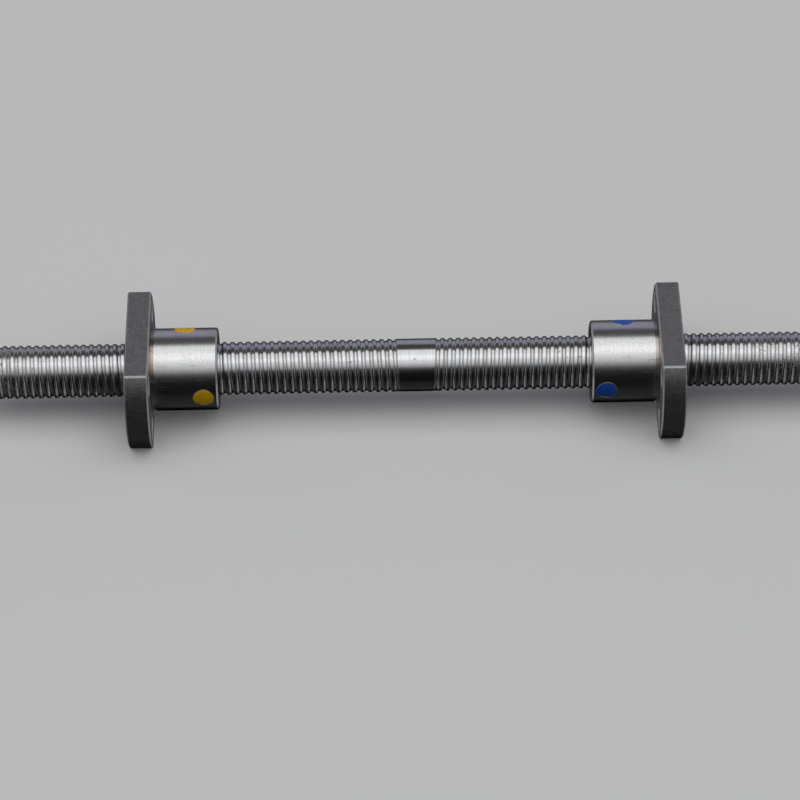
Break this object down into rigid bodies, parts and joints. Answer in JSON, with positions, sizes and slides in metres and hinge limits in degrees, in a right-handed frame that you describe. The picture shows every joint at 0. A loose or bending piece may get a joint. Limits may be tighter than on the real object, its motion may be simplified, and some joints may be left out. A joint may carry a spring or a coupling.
{
  "type": "ball screw assembly",
  "caption": "Miniature ball screw with right- and left-hand threads on one bar and a mirrored pair of cut-flange nuts that travel towards or away from each other.",
  "frame": {"origin": "on the screw axis at the middle of the plain land between the two threads", "axes": "+X along the screw towards the left-hand thread, +Z square to the flange flats, up"},
  "size_m": [0.264, 0.04, 0.026],
  "materials": {
    "screw_steel": "ground and polished bearing steel",
    "nut_steel": "ground steel body, matte blasted flange",
    "ball_steel": "polished chrome steel",
    "rh_deflector": "amber yellow moulded plastic",
    "lh_deflector": "mid blue moulded plastic",
    "wiper_plastic": "black moulded plastic"
  },
  "bodies": {
    "screw": {"screw_shaft": "screw_steel"},
    "rh_wipers": {"rh_wiper_flange": "wiper_plastic", "rh_wiper_end": "wiper_plastic"},
    "rh_nut": {"rh_nut_body": "nut_steel", "rh_deflector_1": "rh_deflector", "rh_deflector_2": "rh_deflector", "rh_deflector_3": "rh_deflector", "rh_balls_1": "ball_steel", "rh_balls_2": "ball_steel", "rh_balls_3": "ball_steel"},
    "lh_wipers": {"lh_wiper_flange": "wiper_plastic", "lh_wiper_end": "wiper_plastic"},
    "lh_nut": {"lh_nut_body": "nut_steel", "lh_deflector_1": "lh_deflector", "lh_deflector_2": "lh_deflector", "lh_deflector_3": "lh_deflector", "lh_balls_1": "ball_steel", "lh_balls_2": "ball_steel", "lh_balls_3": "ball_steel"}
  },
  "joints": [
    {"name": "rh_nut_travel", "type": "slide", "parent": "screw", "child": "rh_wipers", "axis": [1, 0, 0], "range_m": [-0.032, 0.044]},
    {"name": "rh_nut_turn", "type": "hinge", "parent": "rh_wipers", "child": "rh_nut", "pos_m": [-0.0504, 0, 0], "axis": [1, 0, 0], "range_deg": [-5760, 7920]},
    {"name": "lh_nut_travel", "type": "slide", "parent": "screw", "child": "lh_wipers", "axis": [1, 0, 0], "range_m": [-0.038, 0.038]},
    {"name": "lh_nut_turn", "type": "hinge", "parent": "lh_wipers", "child": "lh_nut", "pos_m": [0.0444, 0, 0], "axis": [1, 0, 0], "range_deg": [-6840, 6840]}
  ],
  "couplings": [
    {"joint": "rh_nut_turn", "follows": "rh_nut_travel", "rad_per_m": 3141.6},
    {"joint": "lh_nut_turn", "follows": "lh_nut_travel", "rad_per_m": -3141.6}
  ]
}
